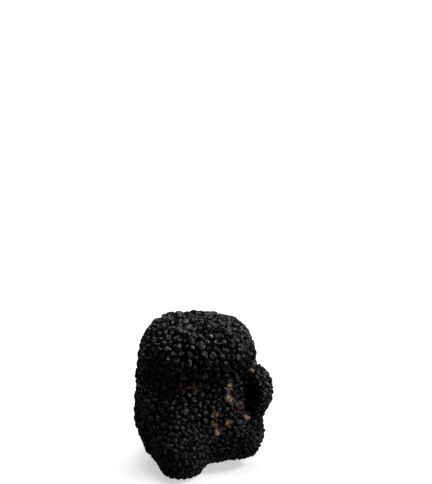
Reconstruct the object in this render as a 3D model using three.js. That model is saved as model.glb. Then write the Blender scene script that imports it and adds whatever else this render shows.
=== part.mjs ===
// A whole black truffle, as dug: one solid lump of lobes, grown together, with shallow furrows between
// them, and a rind that is divided all over into small pyramid-shaped warts.
//
// The lump is a field of distances, in which ellipsoid lobes melt into each other and furrows are
// pressed in. The warts' middles are scattered over it and pushed apart until they sit evenly, each
// with a size of its own. Every wart is then a low pyramid on the polygon that its neighbours leave it,
// with its tip above the lump's surface and its corners sunk below it, so that grooves part the warts.
//
// Millimetres, +Z up. The origin is in the middle of the plan outline, on the surface that the truffle
// rests on. The side with the foot and the knob faces -Y.

import * as THREE from "three";
import { ConvexHull } from "three/addons/math/ConvexHull.js";

// How many warts there are, and how far each one's size strays from its neighbours'
const WARTS = 1720;
const WART_SIZE_SPREAD = 0.36;

// Warts are bigger the further they are from this place, up and to the left, within limits
const MIDDLING_WARTS_AT = new THREE.Vector3(0, 0, 12);
const WART_GROWTH = new THREE.Vector3(-0.014, 0, 0.012);
const SMALLEST_WARTS = 0.8;
const BIGGEST_WARTS = 1.14;

// The height of a wart's tip above the lump, the depth of the grooves under it, and the lean of a tip
const TIP_HEIGHT = 0.3;
const TIP_HEIGHT_SPREAD = 0.45;
const GROOVE_DEPTH = 0.26;
const TIP_LEAN = 0.16;

// Each lobe has its middle, its half sizes and the width over which it melts into those before it
const LOBES = {
  core: lobe([-1.0, 0.5, 12.5], [10.0, 9.6, 11.0], 1.0),
  crown: lobe([-1.6, 0.3, 20.0], [10.4, 9.8, 8.2], 3.0),
  left_shoulder: lobe([-6.4, 0.6, 21.6], [4.8, 6.4, 5.3], 3.0),
  right_shoulder: lobe([4.2, -1.3, 21.8], [4.4, 7.0, 5.1], 3.0),
  left_side: lobe([-7.5, -0.6, 13.8], [5.1, 6.6, 7.4], 3.0),
  belly: lobe([-1.9, -0.8, 10.4], [10.3, 10.4, 7.6], 3.0),
  left_flank: lobe([-7.4, -3.0, 7.4], [4.9, 6.0, 6.4], 3.0),
  foot: lobe([-4.2, -9.9, 4.4], [4.6, 5.4, 5.2], 4.0),
  instep: lobe([1.4, -4.6, 5.7], [4.8, 4.8, 4.6], 3.0),
  right_side: lobe([3.2, -1.8, 13.6], [4.5, 7.4, 5.4], 2.0),
  knob: lobe([9.4, -0.9, 13.4], [3.4, 4.8, 5.1], 1.0),
  lower_right: lobe([6.0, -3.4, 6.8], [5.3, 5.6, 5.7], 2.0),
  right_heel: lobe([4.8, 5.8, 7.0], [5.2, 5.6, 7.6], 2.5),
  left_heel: lobe([-6.0, 5.6, 6.4], [6.0, 6.0, 6.9], 2.5),
  nape: lobe([2.6, 6.4, 19.0], [6.0, 5.2, 6.0], 2.0),
};

// Each furrow follows a line of points just outside the lump, and has a half width and a soft edge
const FURROWS = {
  under_crown: furrow(
    [[-11.2, -7.6, 17.4], [-6.6, -11.0, 17.2], [0.0, -11.9, 17.0], [5.2, -9.3, 17.0], [8.6, -6.8, 17.2]],
    2.0,
    3.0,
  ),
  beside_knob: furrow([[7.8, -6.2, 18.2], [8.4, -5.8, 15.6], [8.5, -5.8, 12.6], [8.2, -6.6, 10.4]], 1.25, 0.9),
  behind_knob_edge: furrow([[8.0, -4.6, 17.2], [8.4, -4.2, 15.0], [8.5, -4.4, 12.8]], 1.15, 0.9),
  under_knob: furrow([[13.0, -2.8, 9.2], [8.6, -8.2, 8.8]], 1.4, 1.8),
  down_back: furrow([[-4.0, 10.6, 22.0], [-2.4, 12.2, 15.0], [-0.6, 12.0, 8.0], [-0.6, 9.0, 2.0]], 1.8, 2.5),
  round_left: furrow([[-12.6, 3.4, 14.8], [-9.0, 9.6, 13.6], [-3.0, 12.6, 13.2]], 1.3, 2.5),
};

// Soft swellings that keep the lobes from being perfectly round
const SWELL_HEIGHT = 0.14;
const SWELL_WAVE = 7.5;

// Where the lump is seen from when its outside is found, a distance beyond its furthest point, and how
// carefully the way in from there is taken
const MIDDLE = new THREE.Vector3(4.0, 4.0, 12.5);
const OUTSIDE = 24;
const APPROACH_STEPS = 60;
const APPROACH_SHARE = 0.8;

// How the surface's slope is felt, and how often a point is drawn back onto the surface
const SLOPE_REACH = 0.02;
const SETTLING_STEPS = 3;

// How the warts are scattered, pushed apart and joined to their neighbours
const SCATTER_SEED = 20;
const CANDIDATES_PER_WART = 6;
const FIRST_SHARE = 0.5;
const GOLDEN_ANGLE = Math.PI * (3 - Math.sqrt(5));
const SMALLEST_SLANT = 0.3;
const SPREADING_PASSES = 24;
const SPREADING_PUSH = 0.42;
const JOINING_PASSES = 20;
const SMALLEST_GAIN = 1e-6;

function lobe(middle, halfSizes, blend) {
  return {
    middle: new THREE.Vector3(...middle),
    halfSizes: new THREE.Vector3(...halfSizes),
    blend,
  };
}

function furrow(points, halfWidth, blend) {
  const places = points.map((point) => new THREE.Vector3(...point));
  const stretches = places.slice(1).map((end, i) => new THREE.Line3(places[i], end));
  return { stretches, halfWidth, blend };
}

// Numbers from 0 to 1 that are the same in every run
function seededRandom(seed) {
  let state = seed;
  return () => {
    state = (state + 0x6d2b79f5) | 0;
    let mixed = Math.imul(state ^ (state >>> 15), 1 | state);
    mixed = (mixed + Math.imul(mixed ^ (mixed >>> 7), 61 | mixed)) ^ mixed;
    return ((mixed ^ (mixed >>> 14)) >>> 0) / 4294967296;
  };
}

const random = seededRandom(SCATTER_SEED);
const around = (spread) => 1 + spread * (2 * random() - 1);

function smoothMin(a, b, blend) {
  const shared = Math.max(blend - Math.abs(a - b), 0) / blend;
  return Math.min(a, b) - (shared * shared * blend) / 4;
}

const scaled = new THREE.Vector3();
const nearest = new THREE.Vector3();

function distanceToLobe(point, { middle, halfSizes }) {
  const share = scaled.subVectors(point, middle).divide(halfSizes).length();
  const steepness = scaled.divide(halfSizes).length();
  return (share * (share - 1)) / steepness;
}

function distanceToFurrow(point, { stretches, halfWidth }) {
  const distances = stretches.map((stretch) =>
    stretch.closestPointToPoint(point, true, nearest).distanceTo(point),
  );
  return Math.min(...distances) - halfWidth;
}

function swelling({ x, y, z }) {
  const [u, v, w] = [x, y, z].map((place) => (place * 2 * Math.PI) / SWELL_WAVE);
  return SWELL_HEIGHT * (Math.sin(u + 0.6 * w) * Math.cos(v) + Math.sin(w - 0.5 * v) * Math.cos(0.8 * u));
}

// The distance from a point to the lump's surface, less than nothing inside
function distanceToLump(point) {
  let distance = OUTSIDE;
  for (const part of Object.values(LOBES)) {
    distance = smoothMin(distance, distanceToLobe(point, part), part.blend);
  }
  for (const part of Object.values(FURROWS)) {
    distance = -smoothMin(-distance, distanceToFurrow(point, part), part.blend);
  }
  return distance + swelling(point);
}

// The way out of the lump at a point, as long as the distance is steep there
function slopeAt(point) {
  const rise = (axis) => {
    const ahead = point.clone().addScaledVector(axis, SLOPE_REACH);
    const behind = point.clone().addScaledVector(axis, -SLOPE_REACH);
    return (distanceToLump(ahead) - distanceToLump(behind)) / (2 * SLOPE_REACH);
  };
  return new THREE.Vector3(
    rise(new THREE.Vector3(1, 0, 0)),
    rise(new THREE.Vector3(0, 1, 0)),
    rise(new THREE.Vector3(0, 0, 1)),
  );
}

// Moves a point that is near the lump onto its surface
function settle(point) {
  for (let step = 0; step < SETTLING_STEPS; step += 1) {
    const slope = slopeAt(point);
    point.addScaledVector(slope, -distanceToLump(point) / slope.lengthSq());
  }
  return point;
}

// The first point of the lump on the way in from outside towards its middle
function outsideAlong(direction) {
  let reach = OUTSIDE;
  const point = new THREE.Vector3();
  for (let step = 0; step < APPROACH_STEPS; step += 1) {
    point.copy(MIDDLE).addScaledVector(direction, reach);
    reach -= APPROACH_SHARE * distanceToLump(point);
  }
  return point;
}

// The size of the warts round a place, where 1 is the mean
function wartSizeAt(place) {
  const growth = place.clone().sub(MIDDLING_WARTS_AT).dot(WART_GROWTH);
  return THREE.MathUtils.clamp(1 + growth, SMALLEST_WARTS, BIGGEST_WARTS);
}

// A place on the lump in one of many directions that lie on an even spiral, and its share of the warts
function placeOnSpiral(i, count) {
  const height = 1 - (2 * i + 1) / count;
  const turn = i * GOLDEN_ANGLE;
  const radius = Math.sqrt(1 - height * height);
  const direction = new THREE.Vector3(radius * Math.cos(turn), radius * Math.sin(turn), height);
  const middle = outsideAlong(direction);
  const slant = Math.max(direction.dot(slopeAt(middle).normalize()), SMALLEST_SLANT);
  return { middle, share: middle.distanceToSquared(MIDDLE) / slant / wartSizeAt(middle) ** 2 };
}

// The warts' middles, first wherever the candidates so far stand for one more wart's share
function scatterWarts() {
  const count = WARTS * CANDIDATES_PER_WART;
  const candidates = Array.from({ length: count }, (_, i) => placeOnSpiral(i, count));
  const whole = candidates.reduce((sum, { share }) => sum + share, 0);
  const warts = [];
  let due = FIRST_SHARE;
  for (const { middle, share } of candidates) {
    due += (WARTS * share) / whole;
    if (due >= 1) {
      due -= 1;
      warts.push({ middle, size: wartSizeAt(middle) * around(WART_SIZE_SPREAD) });
    }
  }
  return warts;
}

// Pushes the warts apart over the surface, big ones harder than small ones
function spreadWarts(warts, spacing) {
  for (let pass = 0; pass < SPREADING_PASSES; pass += 1) {
    const pushes = warts.map(({ middle, size }, i) => {
      const push = new THREE.Vector3();
      warts.forEach((other, j) => {
        const wanted = (spacing * (size + other.size)) / 2;
        const apart = middle.distanceTo(other.middle);
        if (i !== j && apart < wanted) {
          push.addScaledVector(scaled.subVectors(middle, other.middle), (wanted - apart) / apart);
        }
      });
      return push;
    });
    warts.forEach(({ middle }, i) => settle(middle.addScaledVector(pushes[i], SPREADING_PUSH)));
  }
}

// Joins each wart to its neighbours by triangles, first as they lie round the lump's middle
function joinNeighbours(warts) {
  const seen = warts.map(({ middle }) => middle.clone().sub(MIDDLE).normalize());
  const numbers = new Map(seen.map((point, i) => [point, i]));
  return new ConvexHull().setFromPoints(seen).faces.map(({ edge }) =>
    [edge.prev, edge, edge.next].map((side) => numbers.get(side.head().point)),
  );
}

function angleAt(corner, a, b) {
  return a.clone().sub(corner).angleTo(b.clone().sub(corner));
}

// Turns the shared side of two triangles where the other diagonal joins nearer warts
function improveNeighbours(warts, triangles) {
  const sideKey = (a, b) => a * WARTS + b;
  const owners = new Map();
  const claim = (number) => {
    const [a, b, c] = triangles[number];
    owners.set(sideKey(a, b), number).set(sideKey(b, c), number).set(sideKey(c, a), number);
  };
  triangles.forEach((_, number) => claim(number));
  let turned = true;
  for (let pass = 0; turned && pass < JOINING_PASSES; pass += 1) {
    turned = false;
    for (const [key, left] of [...owners]) {
      const [a, b] = [Math.floor(key / WARTS), key % WARTS];
      const right = owners.get(sideKey(b, a));
      if (a > b || owners.get(key) !== left || right === undefined) continue;
      const c = triangles[left].find((wart) => wart !== a && wart !== b);
      const d = triangles[right].find((wart) => wart !== a && wart !== b);
      const [pa, pb, pc, pd] = [a, b, c, d].map((wart) => warts[wart].middle);
      if (owners.has(sideKey(c, d)) || owners.has(sideKey(d, c))) continue;
      if (angleAt(pc, pa, pb) + angleAt(pd, pa, pb) <= Math.PI + SMALLEST_GAIN) continue;
      owners.delete(sideKey(a, b));
      owners.delete(sideKey(b, a));
      triangles[left] = [a, d, c];
      triangles[right] = [b, c, d];
      claim(left);
      claim(right);
      turned = true;
    }
  }
  return owners;
}

// The tip of a wart, above its middle and leaning a little
function tipOf({ middle, size }) {
  const out = slopeAt(middle).normalize();
  const lean = new THREE.Vector3(random() - 0.5, random() - 0.5, random() - 0.5).projectOnPlane(out);
  const height = TIP_HEIGHT * size * around(TIP_HEIGHT_SPREAD);
  return middle.clone().addScaledVector(out, height).addScaledVector(lean, 2 * TIP_LEAN);
}

// The sunken corner between three warts, nearer to the small ones
function cornerOf(neighbours) {
  const shares = neighbours.map(({ size }) => 1 / size);
  const total = shares.reduce((sum, share) => sum + share);
  const corner = new THREE.Vector3();
  neighbours.forEach(({ middle }, i) => corner.addScaledVector(middle, shares[i] / total));
  const out = slopeAt(settle(corner)).normalize();
  return corner.addScaledVector(out, -GROOVE_DEPTH);
}

// The rind: a pyramid for each wart, on the corners that it shares with its neighbours
function makeRind() {
  const warts = scatterWarts();
  const spacing = meanSpacing(warts);
  spreadWarts(warts, spacing);
  const triangles = joinNeighbours(warts);
  const owners = improveNeighbours(warts, triangles);
  const tips = warts.map(tipOf);
  const corners = triangles.map((triangle) => cornerOf(triangle.map((wart) => warts[wart])));
  const points = [...tips, ...corners];
  const faces = [];
  for (const [key, ahead] of owners) {
    const [a, b] = [Math.floor(key / WARTS), key % WARTS];
    const behind = owners.get(b * WARTS + a);
    faces.push(a, WARTS + behind, WARTS + ahead);
  }
  return { points, faces };
}

// The distance between warts of size 1 with which all of them together cover the lump
function meanSpacing(warts) {
  const triangles = joinNeighbours(warts);
  const area = triangles.reduce((sum, triangle) => {
    const [a, b, c] = triangle.map((wart) => warts[wart].middle);
    return sum + new THREE.Triangle(a, b, c).getArea();
  }, 0);
  const squares = warts.reduce((sum, { size }) => sum + size * size, 0);
  return Math.sqrt((2 * area) / (Math.sqrt(3) * squares));
}

// Sets the rind down: what would reach under the resting surface is pressed flat against it
function restOnSurface(points) {
  points.forEach((point) => {
    point.z = Math.max(point.z, 0);
  });
  const outline = new THREE.Box3().setFromPoints(points);
  const centre = outline.getCenter(new THREE.Vector3());
  points.forEach((point) => point.sub(new THREE.Vector3(centre.x, centre.y, 0)));
}

function truffleGeometry() {
  const { points, faces } = makeRind();
  restOnSurface(points);
  const geometry = new THREE.BufferGeometry().setFromPoints(points).setIndex(faces);
  geometry.computeVertexNormals();
  return geometry;
}

const rind = new THREE.MeshStandardMaterial({ color: 0x171615, roughness: 0.5, metalness: 0 });
const truffle = new THREE.Mesh(truffleGeometry(), rind);
truffle.name = "truffle";

const group = new THREE.Group();
group.add(truffle);

export default group;
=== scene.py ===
# A whole black truffle: its rind of blunt, faceted warts, worn brown in places, on a pale floor.
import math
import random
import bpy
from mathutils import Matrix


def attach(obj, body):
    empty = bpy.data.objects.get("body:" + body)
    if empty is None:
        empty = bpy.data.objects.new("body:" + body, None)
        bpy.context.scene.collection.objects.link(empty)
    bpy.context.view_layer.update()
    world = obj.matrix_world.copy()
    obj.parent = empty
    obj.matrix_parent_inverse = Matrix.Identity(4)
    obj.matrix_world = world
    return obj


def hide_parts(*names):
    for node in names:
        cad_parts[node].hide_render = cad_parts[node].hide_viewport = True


bl_info = {
    "name": "Black truffle",
    "version": (1, 0, 0),
    "blender": (4, 5, 0),
    "location": "3D View > Sidebar > Truffle",
    "description": "Builds a black truffle's warty rind on its solid, and a plain stage to see it on",
    "category": "Object",
}

import bmesh
import bpy
from bpy.props import FloatProperty, FloatVectorProperty, IntProperty, PointerProperty
from mathutils import Matrix, Vector, noise
from mathutils.kdtree import KDTree

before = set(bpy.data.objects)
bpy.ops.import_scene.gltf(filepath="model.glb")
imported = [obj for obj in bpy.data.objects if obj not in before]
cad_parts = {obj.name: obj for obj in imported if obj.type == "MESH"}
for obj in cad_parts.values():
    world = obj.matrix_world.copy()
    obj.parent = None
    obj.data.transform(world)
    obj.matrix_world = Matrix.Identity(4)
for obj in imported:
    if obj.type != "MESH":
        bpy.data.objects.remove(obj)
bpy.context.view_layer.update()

MM = 0.001
NODE = "truffle"
BODY = "root"

# The solid's groove corners lie this far under the lump that its warts stand on
SOLID_GROOVE = 0.26 * MM
WELD_REACH = 0.001 * MM

# The ways out of the lump are evened out over their neighbours this many times
EVENING_ROUNDS = 2

# A groove's depth strays by these shares at its corners and between them, or is a shallow one's share
CORNER_DEPTH_SPREAD = 0.25
SIDE_DEPTH_SPREAD = 0.2
SHALLOW_DEPTHS = (0.0, 0.35)

# A groove bows and jitters sideways by these shares of its length
GROOVE_BOW = 0.09
GROOVE_JITTER = 0.035

# How near to a corner of its wart a groove point counts that lies one step away from it
NEAR_CORNER = 0.45

# No wart reaches further than this from its tip, and none is lower than this
WART_REACH = 1.3 * MM
LEAST_PEAK = 0.1 * MM

# Each ring of a wart, from the groove to the middle: its share of the way in, of the wart's rise, and
# what is added to the way in at the wart's corners, less than nothing to sharpen them
RINGS = (
    (0.10, 0.32, -0.02),
    (0.21, 0.88, -0.04),
    (0.40, 1.00, 0.00),
    (0.68, 1.00, 0.00),
)

# The rings stray from their share of the way in by this much, in waves that are this long
RING_RAGGEDNESS = 0.55
RAGGED_WAVE = 0.56 * MM

# A shallow groove counts as this share of a wart's height, so the painted groove shade over it is lighter
SHALLOW_HEIGHT = 0.6

# A wart's top lies this share of the way from the middle of its outline towards its tip
TIP_LEAN = 0.5

# A top is cut by one main plane and a few more: their tilts in degrees, and how far the further ones
# lie above the top, as shares of the wart's reach
FACET_COUNTS = (2, 3, 3, 4)
MAIN_TILTS = (2, 26)
FACET_TILTS = (14, 52)
FACET_LIFTS = (-0.02, 0.14)
EDGE_SOFTNESS = 0.004 * MM

# The further planes face evenly all round, give or take this share of the step from one to the next
FACET_STRAY = 0.3

# This share of a wart's corners is notched, by this share of the groove's depth
NOTCHED_SHARE = 0.45
NOTCH_DEPTH = 0.5

# The small bumps on a wart are this wide, and push it sideways by this share of their height
BUMP_SIZE = 0.45 * MM
BUMP_SIDEWAYS = 0.6

# Places where the rind is worn brown, in mm: where each is, its radius, and how far it is worn
WORN_SPOTS = (
    ((4.95, -5.21, 16.11), 0.85, 0.88),
    ((4.74, -6.71, 14.49), 0.95, 1.00),
    ((2.27, -8.61, 11.86), 0.80, 1.00),
    ((1.96, -8.73, 10.08), 0.75, 0.90),
    ((4.63, -7.30, 9.84), 0.85, 0.95),
    ((2.76, -8.57, 8.43), 0.90, 0.95),
    ((6.81, -6.01, 12.77), 1.15, 0.50),
    ((8.08, -3.87, 9.91), 0.80, 1.00),
    ((9.02, -1.58, 18.11), 0.60, 1.00),
    ((-3.70, -6.54, 16.08), 1.15, 0.48),
    ((-1.48, -7.14, 16.27), 1.15, 0.50),
    ((-7.59, -5.48, 16.03), 0.95, 0.46),
)

# The wear ends at this many radii from the middle of a place, and is full this many radii further in
WEAR_END = 1.35
WEAR_FADE = 0.8

# A fully worn wart has lost this share of its height, and has bumps that are higher by this share
WORN_LOSS = 0.3
WORN_ROUGHNESS = 1.0

# Behind and above this, worn places are drawn in small groups: how many groups, of how many places,
# within what reach, and the least and greatest radius and wear of a place
FAR_SIDE_FROM = 2.0 * MM
FAR_GROUPS = 6
FAR_GROUP_SIZE = 3
FAR_GROUP_REACH = 3.2 * MM
FAR_RADII = (0.4 * MM, 0.9 * MM)
FAR_WEARS = (0.4, 1.0)

# A wart is overlooked by one within this reach that stands at more than this sine over its own level,
# and lies in a full hollow of the lump when this share of those within reach overlook it
HOLLOW_REACH = 5.0 * MM
HOLLOW_SINE = 0.35
HOLLOW_FULL = 0.30

# This share of the black skin is covered by painted shade in a full hollow
HOLLOW_SHADE = 0.62

# Where two faces meet at more than this angle, the rind shows an edge
SHARP_ANGLE = math.radians(13)

# The skin is glossy above the first of these heights and dull under the second, as after being laid
# down, and the line between them wanders by this much
DULL_FROM = 17 * MM
DULL_UNDER = 9 * MM
DULL_WANDER = 4 * MM

# The sizes of the skin's patches, spots, grains and facets, of the cracks drawn in painted shade, and the
# depth of its relief
PATCH_SIZE = 5.0 * MM
MOTTLE_SIZE = 0.7 * MM
GRAIN_SIZE = 0.11 * MM
FACET_SIZE = 0.55 * MM
CRACK_SIZE = 0.85 * MM
RELIEF_DEPTH = 0.25 * MM

# The share of a facet's height that the grains and the spots add to the relief
GRAIN_RELIEF = 0.05
MOTTLE_RELIEF = 0.25

# What each kind of place adds to the roughness of a wart's top
GROOVE_DULLNESS = 0.55
GRAIN_DULLNESS = 0.22
TONE_DULLNESS = 0.06
LOW_DULLNESS = 0.3
FLESH_DULLNESS = 0.35

# How far the rubbed tops depend on the wart's tone and on the patches, and the pale flesh on the spots
RUBBED_TONE = 0.1
RUBBED_PATCHES = 0.3
PALE_MOTTLE = 0.6

# How far wear bares the flesh, and how far it bares the lower parts of a wart too
WEAR_BARES = 1.3
WEAR_BARES_LOW = 0.5

# Bare flesh counts as this much higher, so that less painted groove shade crosses it
BARE_LIFT = 0.5

# How far the spots and the grains shift the edge of a worn place, of its heart, and of the painted crack
# shade
BARE_SHIFTS = (1.2, 0.7)
HEART_SHIFTS = (0.8, 0.3)
CRACK_SHIFT = 0.3

# The masks of the rind go smoothly from nothing at the first of these values to full at the second
TOP_EDGE = (0.35, 0.95)
RUBBED_EDGE = (0.55, 0.95)
BARE_EDGE = (0.40, 0.66)
BARE_HEIGHT_EDGE = (0.2, 0.8)
PALE_EDGE = (0.6, 1.1)
HEART_EDGE = (0.50, 1.00)
CRACK_EDGE = (0.0, 0.13)
PAINTED_SHADE_EDGE = (0.34, 0.92)

# The darkest flesh has this share of the worn colour
DARK_FLESH = 0.36

# How strongly the skin mirrors
SKIN_GLOSS = 0.9

# The floor reaches this far each way, a hair under the truffle, with faint wide patches that are duller
FLOOR_REACH = 4.0
FLOOR_DROP = 0.01 * MM
FLOOR_PATCH_SIZE = 40 * MM
FLOOR_PATCH_SHADE = 0.985
FLOOR_ROUGHNESS = 0.9
FLOOR_GLOSS = 0.1

# The lamps: the direction in which each shines, the width of its disc in degrees, and its power
LAMPS = {
    "light_above": ((0.05, -0.38, -1.00), 40, 1.5),
    "light_right": ((-0.90, -0.05, -0.90), 20, 1.4),
    "light_side": ((-0.95, 0.35, -0.25), 30, 0.6),
}

# The camera's place and tilt, its nearest sight, and its focal length in pixels of a picture this high
CAMERA_PLACE = (2.38 * MM, -306.96 * MM, 107.6 * MM)
CAMERA_TILT = math.radians(12.0)
CAMERA_NEAR = 10 * MM
FOCAL_PIXELS = 1700
PICTURE_HEIGHT = 484
SENSOR_SIDE = 36.0


class RindSettings(bpy.types.PropertyGroup):
    """Sizes and colours of the rind."""

    seed: IntProperty(name="Seed", description="Start of the random draws", default=7, min=1)
    side_step: FloatProperty(
        name="Side step",
        description="Length of the short stretches that the grooves are cut into",
        default=0.37 * MM,
        min=0.1 * MM,
        unit="LENGTH",
        precision=6,
    )
    groove_depth: FloatProperty(
        name="Groove depth",
        description="Depth of a full groove under the lump",
        default=0.32 * MM,
        min=0.0,
        unit="LENGTH",
        precision=6,
    )
    shallow_share: FloatProperty(
        name="Shallow grooves",
        description="Share of the grooves that hardly part their two warts",
        default=0.34,
        min=0.0,
        max=1.0,
        subtype="FACTOR",
    )
    bluntness: FloatProperty(
        name="Bluntness",
        description="Share of a wart's pyramid height that its blunt top reaches",
        default=0.72,
        min=0.0,
        max=1.0,
        subtype="FACTOR",
    )
    crag: FloatProperty(
        name="Crag",
        description="Height of the small bumps on a wart",
        default=0.055 * MM,
        min=0.0,
        unit="LENGTH",
        precision=6,
    )
    rind_colour: FloatVectorProperty(
        name="Rind",
        description="Colour of the warts",
        default=(0.0022, 0.0021, 0.0020),
        min=0.0,
        max=1.0,
        subtype="COLOR",
    )
    # Painted shade: this near-black colour stands for the shade in the grooves between the warts
    painted_groove_shade: FloatVectorProperty(
        name="Grooves",
        description="Colour between the warts",
        default=(0.0004, 0.0004, 0.0004),
        min=0.0,
        max=1.0,
        subtype="COLOR",
    )
    rubbed_colour: FloatVectorProperty(
        name="Rubbed tops",
        description="Colour of the highest parts of the warts",
        default=(0.0092, 0.0087, 0.0080),
        min=0.0,
        max=1.0,
        subtype="COLOR",
    )
    worn_colour: FloatVectorProperty(
        name="Worn warts",
        description="Colour of the warts that have lost their black skin",
        default=(0.78, 0.50, 0.320),
        min=0.0,
        max=1.0,
        subtype="COLOR",
    )
    rim_colour: FloatVectorProperty(
        name="Rim of worn places",
        description="Colour where a worn place meets the black skin",
        default=(0.115, 0.048, 0.024),
        min=0.0,
        max=1.0,
        subtype="COLOR",
    )
    roughness: FloatProperty(
        name="Roughness",
        description="Roughness of the tops of the warts",
        default=0.36,
        min=0.0,
        max=1.0,
        subtype="FACTOR",
    )


class StageSettings(bpy.types.PropertyGroup):
    """Floor, light and air round the truffle."""

    floor_colour: FloatVectorProperty(
        name="Floor",
        description="Colour of the floor",
        default=(0.98, 0.98, 0.98),
        min=0.0,
        max=1.0,
        subtype="COLOR",
    )
    floor_glow: FloatProperty(
        name="Floor glow",
        description="Light of the floor itself, which keeps the shadows on it pale",
        default=0.55,
        min=0.0,
    )
    air_colour: FloatVectorProperty(
        name="Air",
        description="Colour of the light that comes from all round",
        default=(0.97, 0.98, 0.94),
        min=0.0,
        max=1.0,
        subtype="COLOR",
    )
    air_light: FloatProperty(
        name="Air light",
        description="Strength of the light that comes from all round",
        default=0.08,
        min=0.0,
    )
    backdrop_light: FloatProperty(
        name="Backdrop",
        description="Brightness of the backdrop as the camera sees it",
        default=1.3,
        min=0.0,
    )
    light_share: FloatProperty(
        name="Lamps",
        description="Strength of all lamps together",
        default=1.0,
        min=0.0,
    )


class Wire:
    """A shader socket that can stand in a Python expression."""

    def __init__(self, shader, socket):
        self.shader = shader
        self.socket = socket

    def maths(self, operation, first, second):
        """Adds a Math node."""
        return self.shader.node("ShaderNodeMath", {"operation": operation}, {0: first, 1: second})

    def __add__(self, other):
        return self.maths("ADD", self, other)

    def __sub__(self, other):
        return self.maths("SUBTRACT", self, other)

    def __rsub__(self, other):
        return self.maths("SUBTRACT", other, self)

    def __mul__(self, other):
        return self.maths("MULTIPLY", self, other)

    __radd__ = __add__
    __rmul__ = __mul__


class Shader:
    """The nodes of one material or of the world."""

    def __init__(self, owner):
        owner.use_nodes = True
        self.tree = owner.node_tree
        self.tree.nodes.clear()

    def node(self, kind, settings=None, inputs=None, output=0):
        """Adds a node, sets it up, fills its sockets with values or links, and gives one output."""
        made = self.tree.nodes.new(kind)
        for name, value in (settings or {}).items():
            setattr(made, name, value)
        for place, value in (inputs or {}).items():
            if isinstance(value, Wire):
                self.tree.links.new(value.socket, made.inputs[place])
            else:
                made.inputs[place].default_value = value
        return Wire(self, made.outputs[output]) if made.outputs else None

    def attribute(self, name):
        """A value that the mesh holds at each of its points."""
        return self.node("ShaderNodeAttribute", {"attribute_name": name}, output="Fac")

    def noise(self, size, detail=2.0, roughness=0.5):
        """A noise with features of the given size, from 0 to 1."""
        place = self.node("ShaderNodeTexCoord", output="Object")
        inputs = {"Vector": place, "Scale": 1 / size, "Detail": detail, "Roughness": roughness}
        return self.node("ShaderNodeTexNoise", {}, inputs)

    def level(self):
        """The height over the floor on which the truffle rests."""
        place = self.node("ShaderNodeTexCoord", output="Object")
        return self.node("ShaderNodeSeparateXYZ", {}, {"Vector": place}, output="Z")

    def facets(self, size):
        """A relief of small roofs with flat slopes, each of about the given size."""
        place = self.node("ShaderNodeTexCoord", output="Object")
        inputs = {"Vector": place, "Scale": 1 / size}
        settings = {"feature": "DISTANCE_TO_EDGE"}
        return self.node("ShaderNodeTexVoronoi", settings, inputs, output="Distance")

    def step(self, value, low, high):
        """Rises smoothly from 0 at low to 1 at high."""
        settings = {"interpolation_type": "SMOOTHSTEP"}
        inputs = {"Value": value, "From Min": low, "From Max": high}
        return self.node("ShaderNodeMapRange", settings, inputs)

    def mix(self, share, first, second):
        """Goes from the first colour to the second."""
        inputs = {0: share, 6: opaque(first), 7: opaque(second)}
        return self.node("ShaderNodeMix", {"data_type": "RGBA"}, inputs, output=2)

    def surface(self, **inputs):
        """One surface shader, from the names of its sockets."""
        named = {name.replace("_", " "): value for name, value in inputs.items()}
        return self.node("ShaderNodeBsdfPrincipled", {}, named)

    def blend(self, share, first, second):
        """Goes from the first surface shader to the second."""
        return self.node("ShaderNodeMixShader", {}, {0: share, 1: first, 2: second})

    def finish(self, surface):
        """Ends the material in a surface shader."""
        self.node("ShaderNodeOutputMaterial", {}, {"Surface": surface})


def opaque(colour):
    """A colour with its alpha, as a socket takes it, or a wire as it is."""
    return colour if isinstance(colour, Wire) else (*colour, 1.0)


def tips_by_face(solid):
    """Each face of the solid runs from one wart's tip to two groove corners: this finds its tip."""
    summit = max(solid.verts, key=lambda vert: vert.co.z)
    tips = {face: summit for face in summit.link_faces}
    waiting = list(tips)
    while waiting:
        face = waiting.pop()
        tip = tips[face]
        for edge in face.edges:
            for other in edge.link_faces:
                if other in tips:
                    continue
                far_vert = next(vert for vert in other.verts if vert not in edge.verts)
                tips[other] = tip if tip in edge.verts else far_vert
                waiting.append(other)
    return tips


def corners_round_tips(tips):
    """For each tip, the groove corners round it, in turn as they are seen from outside."""
    following = {}
    for face, tip in tips.items():
        verts = list(face.verts)
        place = verts.index(tip)
        following.setdefault(tip, {})[verts[place - 2]] = verts[place - 1]
    rings = {}
    for tip, steps in following.items():
        ring = [min(steps, key=lambda vert: vert.co[:])]
        while steps[ring[-1]] is not ring[0]:
            ring.append(steps[ring[-1]])
        rings[tip] = ring
    return rings


def read_warts(node):
    """Reads the solid: the place of each groove corner, and each wart's tip and ring of corners."""
    solid = bmesh.new()
    solid.from_mesh(node.data)
    bmesh.ops.remove_doubles(solid, verts=solid.verts, dist=WELD_REACH)
    rings = corners_round_tips(tips_by_face(solid))
    verts = sorted({vert for ring in rings.values() for vert in ring}, key=lambda vert: vert.co[:])
    numbers = {vert: number for number, vert in enumerate(verts)}
    corners = [vert.co.copy() for vert in verts]
    warts = [
        (tip.co.copy(), [numbers[vert] for vert in rings[tip]])
        for tip in sorted(rings, key=lambda vert: vert.co[:])
    ]
    solid.free()
    if len(corners) != 2 * len(warts) - 4:
        raise RuntimeError("The solid's faces don't run from tips to groove corners")
    return corners, warts


def middle_of(points):
    """The mean of some points."""
    return sum(points, Vector()) / len(points)


def face_out(points):
    """The direction that a ring of points faces."""
    middle = middle_of(points)
    pairs = zip(points, points[1:] + points[:1])
    return sum(((a - middle).cross(b - middle) for a, b in pairs), Vector()).normalized()


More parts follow.
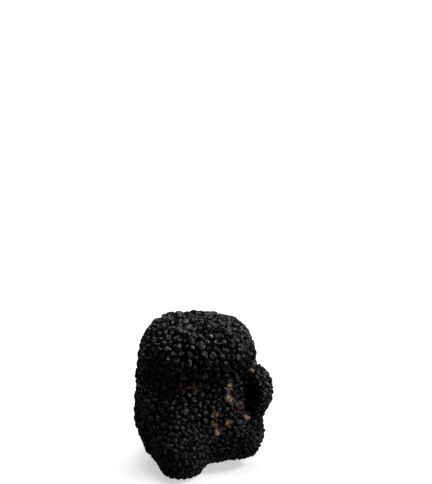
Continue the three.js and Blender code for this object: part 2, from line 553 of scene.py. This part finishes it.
def smooth_directions(corners, warts):
    """The way out of the lump at each wart and at each groove corner, evened out over neighbours."""
    wart_ways = [face_out([corners[corner] for corner in ring]) for _, ring in warts]
    for _ in range(EVENING_ROUNDS):
        corner_ways = [Vector() for _ in corners]
        for way, (_, ring) in zip(wart_ways, warts):
            for corner in ring:
                corner_ways[corner] += way
        corner_ways = [way.normalized() for way in corner_ways]
        wart_ways = [middle_of([corner_ways[corner] for corner in ring]) for _, ring in warts]
        wart_ways = [way.normalized() for way in wart_ways]
    return corner_ways, wart_ways


class RindMesh:
    """The points and faces of the rind as it grows, with what its material needs to know of each."""

    def __init__(self, settings):
        self.settings = settings
        self.random = random.Random(settings.seed)
        noise.seed_set(settings.seed)
        self.bases = []
        self.ways = []
        self.points = []
        self.heights = []
        self.wears = []
        self.tones = []
        self.hollows = []
        self.faces = []

    def add_point(self, place, height, wear=0.0, tone=0.0, hollow=0.0):
        """Adds a point with what the material needs to know of it, and gives its number."""
        self.points.append(place)
        self.heights.append(height)
        self.wears.append(wear)
        self.tones.append(tone)
        self.hollows.append(hollow)
        return len(self.points) - 1

    def add_groove_point(self, base, way, depth, height=0.0):
        """A point at the bottom of a groove, which keeps its place on the lump above it."""
        self.bases.append(base)
        self.ways.append(way)
        return self.add_point(base - depth * way, height)

    def spread(self, share):
        """A factor drawn near 1, that strays from it by up to the given share."""
        return 1 + share * self.random.uniform(-1, 1)


def cut_grooves(mesh, corners, corner_ways, warts):
    """Lays out the grooves: a point at each corner and more along the sides, which two warts share."""
    full = mesh.settings.groove_depth
    depths = [full * mesh.spread(CORNER_DEPTH_SPREAD) for _ in corners]
    for corner, way, depth in zip(corners, corner_ways, depths):
        mesh.add_groove_point(corner + SOLID_GROOVE * way, way, depth)
    pairs = {tuple(sorted(pair)) for _, ring in warts for pair in zip(ring, ring[1:] + ring[:1])}
    sides = {}
    for first, last in sorted(pairs):
        start, end = mesh.bases[first], mesh.bases[last]
        way = (corner_ways[first] + corner_ways[last]).normalized()
        across = way.cross(end - start)
        count = max(1, round((end - start).length / mesh.settings.side_step))
        shallow = mesh.random.random() < mesh.settings.shallow_share
        depth_share = mesh.random.uniform(*SHALLOW_DEPTHS) if shallow else mesh.spread(SIDE_DEPTH_SPREAD)
        middle_depth = full * depth_share
        bow = GROOVE_BOW * mesh.random.uniform(-1, 1)
        side = []
        for place in range(1, count):
            share = place / count
            swell = math.sin(math.pi * share)
            sideways = bow * swell + GROOVE_JITTER * mesh.random.uniform(-1, 1)
            ends_depth = depths[first] + (depths[last] - depths[first]) * share
            depth = ends_depth + (middle_depth - ends_depth) * math.sqrt(swell)
            base = start.lerp(end, share) + across * sideways
            side.append(mesh.add_groove_point(base, way, depth, SHALLOW_HEIGHT if shallow else 0.0))
        sides[first, last] = side
    return sides


def outline_of(ring, sides):
    """The groove points round a wart in turn, each with its nearness to a corner, from 0 to 1."""
    outline = []
    for first, last in zip(ring, ring[1:] + ring[:1]):
        side = sides[first, last] if first < last else list(reversed(sides[last, first]))
        outline.append((first, 1.0))
        for place, point in enumerate(side, 1):
            steps_away = min(place, len(side) + 1 - place)
            outline.append((point, NEAR_CORNER if steps_away == 1 else 0.0))
    return outline


def facets_of_top(rand, way, top, reach):
    """The few slanting planes that cut a wart's top: the way down of each, its fall and its lift."""
    count = rand.choice(FACET_COUNTS)
    start = rand.uniform(0, 2 * math.pi)
    side = way.orthogonal().normalized()
    main_down = Matrix.Rotation(rand.uniform(0, 2 * math.pi), 3, way) @ side
    facets = [(main_down, math.tan(math.radians(rand.uniform(*MAIN_TILTS))), top)]
    for number in range(count):
        turn = start + 2 * math.pi * (number + rand.uniform(-FACET_STRAY, FACET_STRAY)) / count
        down = Matrix.Rotation(turn, 3, way) @ side
        fall = math.tan(math.radians(rand.uniform(*FACET_TILTS)))
        facets.append((down, fall, top + rand.uniform(*FACET_LIFTS) * reach))
    return facets


def soft_least(values):
    """The least of some values, rounded off where two are close."""
    least = min(values)
    crowd = sum(math.exp((least - value) / EDGE_SOFTNESS) for value in values)
    return least - EDGE_SOFTNESS * math.log(crowd)


def worn_spots(rand, warts):
    """The worn places on the near side, and more that are drawn on the far side."""
    spots = [(Vector(place) * MM, radius * MM, wear) for place, radius, wear in WORN_SPOTS]
    far_tips = [tip for tip, _ in warts if tip.y > FAR_SIDE_FROM and tip.z > FAR_SIDE_FROM]
    for heart in rand.sample(far_tips, FAR_GROUPS):
        group = [tip for tip in far_tips if (tip - heart).length < FAR_GROUP_REACH]
        for tip in rand.sample(group, FAR_GROUP_SIZE):
            spots.append((tip, rand.uniform(*FAR_RADII), rand.uniform(*FAR_WEARS)))
    return spots


def wear_at(place, spots):
    """How far the rind is worn brown at a place, from 0 to 1."""
    wears = [0.0]
    for heart, radius, wear in spots:
        share = min(max(WEAR_END - (place - heart).length / radius, 0.0) / WEAR_FADE, 1.0)
        wears.append(wear * share * share * (3 - 2 * share))
    return max(wears)


# This measure sets how much painted shade covers each wart
def hollows_of(warts, wart_ways):
    """How deep in a hollow of the lump each wart lies, from 0 to 1."""
    tree = KDTree(len(warts))
    for number, (tip, _) in enumerate(warts):
        tree.insert(tip, number)
    tree.balance()
    hollows = []
    for (tip, _), way in zip(warts, wart_ways):
        near = [place - tip for place, _, _ in tree.find_range(tip, HOLLOW_REACH)]
        overlooking = sum(way.dot(step) > HOLLOW_SINE * step.length for step in near)
        hollows.append(min(overlooking / (HOLLOW_FULL * len(near)), 1.0))
    return hollows


class Wart:
    """One blunt wart inside its outline of grooves."""

    def __init__(self, mesh, tip, way, hollow, outline, spots):
        rand = mesh.random
        self.mesh = mesh
        self.way = way
        self.hollow = hollow
        self.outline = outline
        self.bases = [mesh.bases[point] for point, _ in outline]
        self.spots = [spot for spot in spots if (tip - spot[0]).length < WEAR_END * spot[1] + WART_REACH]
        self.wear = wear_at(tip, self.spots)
        self.rough = mesh.settings.crag * (1 + WORN_ROUGHNESS * self.wear)
        middle = middle_of(self.bases)
        lean = tip - middle
        peak = way.dot(lean)
        self.centre = middle + TIP_LEAN * (lean - peak * way)
        reach = sum((base - self.centre).length for base in self.bases) / len(self.bases)
        top = mesh.settings.bluntness * max(peak, LEAST_PEAK) * (1 - WORN_LOSS * self.wear)
        self.facets = facets_of_top(rand, way, top, reach)
        self.tone = rand.uniform(-1, 1)
        corners = [point for point, nearness in outline if nearness == 1.0]
        self.notches = {point for point in corners if rand.random() < NOTCHED_SHARE}

    def cut_top(self, place):
        """The height of the top over the lump, as its planes cut it."""
        step = place - self.centre
        return soft_least([lift - fall * down.dot(step) for down, fall, lift in self.facets])

    def ring_point(self, point, nearness, inset, rise, corner_shift):
        """Adds the point of one ring that stands over a groove point."""
        mesh = self.mesh
        base = mesh.bases[point]
        stray = RING_RAGGEDNESS * (1 - inset) * noise.noise(base / RAGGED_WAVE + inset * self.way)
        share = inset * (1 + stray) + corner_shift * nearness
        place = base.lerp(self.centre, share)
        depth = (base - mesh.points[point]).length
        height = rise * self.cut_top(place) - (1 - rise) * depth
        if point in self.notches:
            height -= NOTCH_DEPTH * depth * (1 - share)
        bump = noise.noise_vector(place / BUMP_SIZE)
        height += self.rough * rise * bump.z
        sideways = BUMP_SIDEWAYS * self.rough * (bump - bump.z * self.way)
        out = (1 - share) * mesh.ways[point] + share * self.way
        spot_wear = wear_at(place, self.spots)
        shown_height = max(rise, mesh.heights[point])
        place = place + height * out + sideways
        return mesh.add_point(place, shown_height, spot_wear, self.tone, self.hollow)

    def build(self):
        """Adds the wart's rings and its top, and the faces between them."""
        mesh = self.mesh
        inner = [point for point, _ in self.outline]
        for ring_shape in RINGS:
            ring = [self.ring_point(point, nearness, *ring_shape) for point, nearness in self.outline]
            for place, _ in enumerate(ring):
                mesh.faces.append((inner[place - 1], inner[place], ring[place], ring[place - 1]))
            inner = ring
        height = self.cut_top(self.centre) + self.rough * noise.noise(self.centre / BUMP_SIZE)
        top = mesh.add_point(self.centre + height * self.way, 1.0, self.wear, self.tone, self.hollow)
        for place, _ in enumerate(inner):
            mesh.faces.append((inner[place - 1], inner[place], top))


def rind_object(mesh):
    """Turns the gathered points and faces into the piece."""
    data = bpy.data.meshes.new("truffle_rind")
    points = [(point.x, point.y, max(point.z, 0.0)) for point in mesh.points]
    data.from_pydata(points, [], mesh.faces)
    shown = {"height": mesh.heights, "worn": mesh.wears, "tone": mesh.tones, "hollow": mesh.hollows}
    for name, values in shown.items():
        data.attributes.new(name, "FLOAT", "POINT").data.foreach_set("value", values)
    data.shade_smooth()
    data.set_sharp_from_angle(angle=SHARP_ANGLE)
    data.update()
    piece = bpy.data.objects.new("truffle_rind", data)
    bpy.context.scene.collection.objects.link(piece)
    return piece


def rind_material(settings):
    """Black, half-glossy skin on the tops, black grooves, and rough brown flesh where it is worn."""
    material = bpy.data.materials.new("truffle_rind")
    shader = Shader(material)
    height = shader.attribute("height")
    worn = shader.attribute("worn")
    tone = shader.attribute("tone")
    hollow = shader.attribute("hollow")
    grain = shader.noise(GRAIN_SIZE, detail=3.0, roughness=0.6)
    mottle = shader.noise(MOTTLE_SIZE, detail=2.0)
    patches = shader.noise(PATCH_SIZE, detail=1.0)
    facets = shader.facets(FACET_SIZE)
    cracks = shader.facets(CRACK_SIZE)

    def uneven(mask, mottle_share, grain_share):
        """A mask whose edge wanders with the spots and the grains."""
        return mask + mottle_share * (mottle - 0.5) + grain_share * (grain - 0.5)

    # Black skin, darkened by painted shade down the low sides of the warts towards the grooves, rubbed grey
    # here and there on the tops
    on_top = shader.step(height, *TOP_EDGE)
    skin = shader.mix(on_top, settings.painted_groove_shade, settings.rind_colour)
    rubbed = mottle + RUBBED_TONE * tone + RUBBED_PATCHES * patches
    rubbed = on_top * shader.step(rubbed, *RUBBED_EDGE)
    skin = shader.mix(rubbed, skin, settings.rubbed_colour)

    # Bare flesh, pale at the heart of a worn place and dark at its rim
    bare = shader.step(uneven(WEAR_BARES * worn, *BARE_SHIFTS), *BARE_EDGE)
    bare = bare * shader.step(height + WEAR_BARES_LOW * worn, *BARE_HEIGHT_EDGE)
    dark_flesh = tuple(DARK_FLESH * part for part in settings.worn_colour)
    pale = shader.step(grain + PALE_MOTTLE * mottle, *PALE_EDGE)
    flesh = shader.mix(pale, dark_flesh, settings.worn_colour)
    heart = shader.step(uneven(worn, *HEART_SHIFTS), *HEART_EDGE)
    flesh = shader.mix(heart, settings.rim_colour, flesh)
    colour = shader.mix(bare, skin, flesh)

    # Gloss and fine relief
    low = shader.step(shader.level() + DULL_WANDER * patches, DULL_FROM, DULL_UNDER)
    roughness = settings.roughness + GROOVE_DULLNESS * (1 - on_top) + GRAIN_DULLNESS * (grain - 0.5)
    roughness = roughness + TONE_DULLNESS * tone + LOW_DULLNESS * low + FLESH_DULLNESS * bare
    relief = facets + GRAIN_RELIEF * grain + MOTTLE_RELIEF * mottle
    normal = shader.node("ShaderNodeBump", {}, {"Strength": 1.0, "Distance": RELIEF_DEPTH, "Height": relief})
    skin_finish = {"Roughness": roughness, "Specular_IOR_Level": SKIN_GLOSS, "Normal": normal}
    outside = shader.surface(Base_Color=colour, **skin_finish)

    # Painted shade: a black shader that sends no light back covers the grooves, the crack lines and the
    # depths of the lump's hollows
    groove = shader.surface(Base_Color=opaque(settings.painted_groove_shade), Roughness=1.0, Specular_IOR_Level=0.0)
    # Crack lines are painted shade along the edges of cells, with no cut in the mesh
    uncracked = shader.step(cracks + CRACK_SHIFT * (mottle - 0.5), *CRACK_EDGE)
    clear_of_crack_shade = 1 - (1 - bare) * (1 - uncracked)
    # Painted shade in the hollows, kept off the bare flesh
    clear_of_hollow_shade = 1 - HOLLOW_SHADE * hollow * (1 - bare)
    clear_of_painted_shade = shader.step(height + BARE_LIFT * bare, *PAINTED_SHADE_EDGE) * clear_of_crack_shade * clear_of_hollow_shade
    shader.finish(shader.blend(clear_of_painted_shade, groove, outside))
    return material


class TRUFFLE_OT_rind(bpy.types.Operator):
    """Build the truffle's rind over its solid."""

    bl_idname = "truffle.rind"
    bl_label = "Rind"

    def execute(self, context):
        settings = context.scene.truffle_rind
        corners, warts = read_warts(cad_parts[NODE])
        corner_ways, wart_ways = smooth_directions(corners, warts)
        mesh = RindMesh(settings)
        sides = cut_grooves(mesh, corners, corner_ways, warts)
        spots = worn_spots(mesh.random, warts)
        hollows = hollows_of(warts, wart_ways)
        for (tip, ring), way, hollow in zip(warts, wart_ways, hollows):
            Wart(mesh, tip, way, hollow, outline_of(ring, sides), spots).build()
        piece = rind_object(mesh)
        piece.data.materials.append(rind_material(settings))
        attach(piece, BODY)
        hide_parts(NODE)
        return {"FINISHED"}


def add_floor(settings):
    """A wide pale floor under the truffle."""
    data = bpy.data.meshes.new("floor")
    corners = [(FLOOR_REACH * x, FLOOR_REACH * y, 0.0) for x, y in ((-1, -1), (1, -1), (1, 1), (-1, 1))]
    data.from_pydata(corners, [], [(0, 1, 2, 3)])
    floor = bpy.data.objects.new("floor", data)
    floor.location.z = -FLOOR_DROP
    floor.visible_glossy = False
    floor.visible_diffuse = False
    bpy.context.scene.collection.objects.link(floor)
    material = bpy.data.materials.new("floor")
    shader = Shader(material)
    shade = shader.noise(FLOOR_PATCH_SIZE, detail=1.0)
    duller = tuple(FLOOR_PATCH_SHADE * part for part in settings.floor_colour)
    colour = shader.mix(shade, duller, settings.floor_colour)
    glow = {"Emission_Color": opaque(settings.floor_colour), "Emission_Strength": settings.floor_glow}
    matt = {"Roughness": FLOOR_ROUGHNESS, "Specular_IOR_Level": FLOOR_GLOSS}
    shader.finish(shader.surface(Base_Color=colour, **matt, **glow))
    data.materials.append(material)


def add_sun(name, way, softness, power):
    """An even light that falls in one direction, from a disc of sky as wide as its softness."""
    data = bpy.data.lights.new(name, "SUN")
    data.angle = math.radians(softness)
    data.energy = power
    sun = bpy.data.objects.new(name, data)
    sun.rotation_euler = Vector(way).to_track_quat("-Z", "Y").to_euler()
    bpy.context.scene.collection.objects.link(sun)


def add_air(settings):
    """Faint even light from all round, behind which the camera sees white."""
    world = bpy.data.worlds.new("air")
    shader = Shader(world)
    seen = shader.node("ShaderNodeLightPath", output="Is Camera Ray")
    strengths = {"To Min": settings.air_light, "To Max": settings.backdrop_light}
    strength = shader.node("ShaderNodeMapRange", {}, {"Value": seen, **strengths})
    air = {"Color": opaque(settings.air_colour), "Strength": strength}
    background = shader.node("ShaderNodeBackground", {}, air)
    shader.node("ShaderNodeOutputWorld", {}, {"Surface": background})
    bpy.context.scene.world = world


def add_camera():
    """The camera in front of the truffle, looking a little down on it."""
    data = bpy.data.cameras.new("camera")
    data.sensor_width = SENSOR_SIDE
    data.sensor_fit = "AUTO"
    data.lens = SENSOR_SIDE * FOCAL_PIXELS / PICTURE_HEIGHT
    data.clip_start = CAMERA_NEAR
    camera = bpy.data.objects.new("camera", data)
    camera.location = CAMERA_PLACE
    camera.rotation_euler = (math.radians(90) - CAMERA_TILT, 0, 0)
    bpy.context.scene.collection.objects.link(camera)
    bpy.context.scene.camera = camera


class TRUFFLE_OT_stage(bpy.types.Operator):
    """Set up the floor, the light and the camera."""

    bl_idname = "truffle.stage"
    bl_label = "Stage"

    def execute(self, context):
        settings = context.scene.truffle_stage
        add_floor(settings)
        for name, (way, softness, power) in LAMPS.items():
            add_sun(name, way, softness, power * settings.light_share)
        add_air(settings)
        add_camera()
        context.scene.view_settings.view_transform = "Standard"
        return {"FINISHED"}


class TRUFFLE_PT_panel(bpy.types.Panel):
    """Lists the truffle's settings and the steps that build it."""

    bl_idname = "TRUFFLE_PT_panel"
    bl_label = "Truffle"
    bl_space_type = "VIEW_3D"
    bl_region_type = "UI"
    bl_category = "Truffle"

    def draw(self, context):
        for settings, operator in (
            (context.scene.truffle_rind, TRUFFLE_OT_rind),
            (context.scene.truffle_stage, TRUFFLE_OT_stage),
        ):
            box = self.layout.box()
            for name in settings.__annotations__:
                box.prop(settings, name)
            box.operator(operator.bl_idname)


CLASSES = (RindSettings, StageSettings, TRUFFLE_OT_rind, TRUFFLE_OT_stage, TRUFFLE_PT_panel)


def register():
    for entry in CLASSES:
        bpy.utils.register_class(entry)
    bpy.types.Scene.truffle_rind = PointerProperty(type=RindSettings)
    bpy.types.Scene.truffle_stage = PointerProperty(type=StageSettings)


def unregister():
    del bpy.types.Scene.truffle_stage
    del bpy.types.Scene.truffle_rind
    for entry in reversed(CLASSES):
        bpy.utils.unregister_class(entry)


def main():
    register()
    bpy.ops.truffle.rind()
    bpy.ops.truffle.stage()


if __name__ == "__main__":
    main()
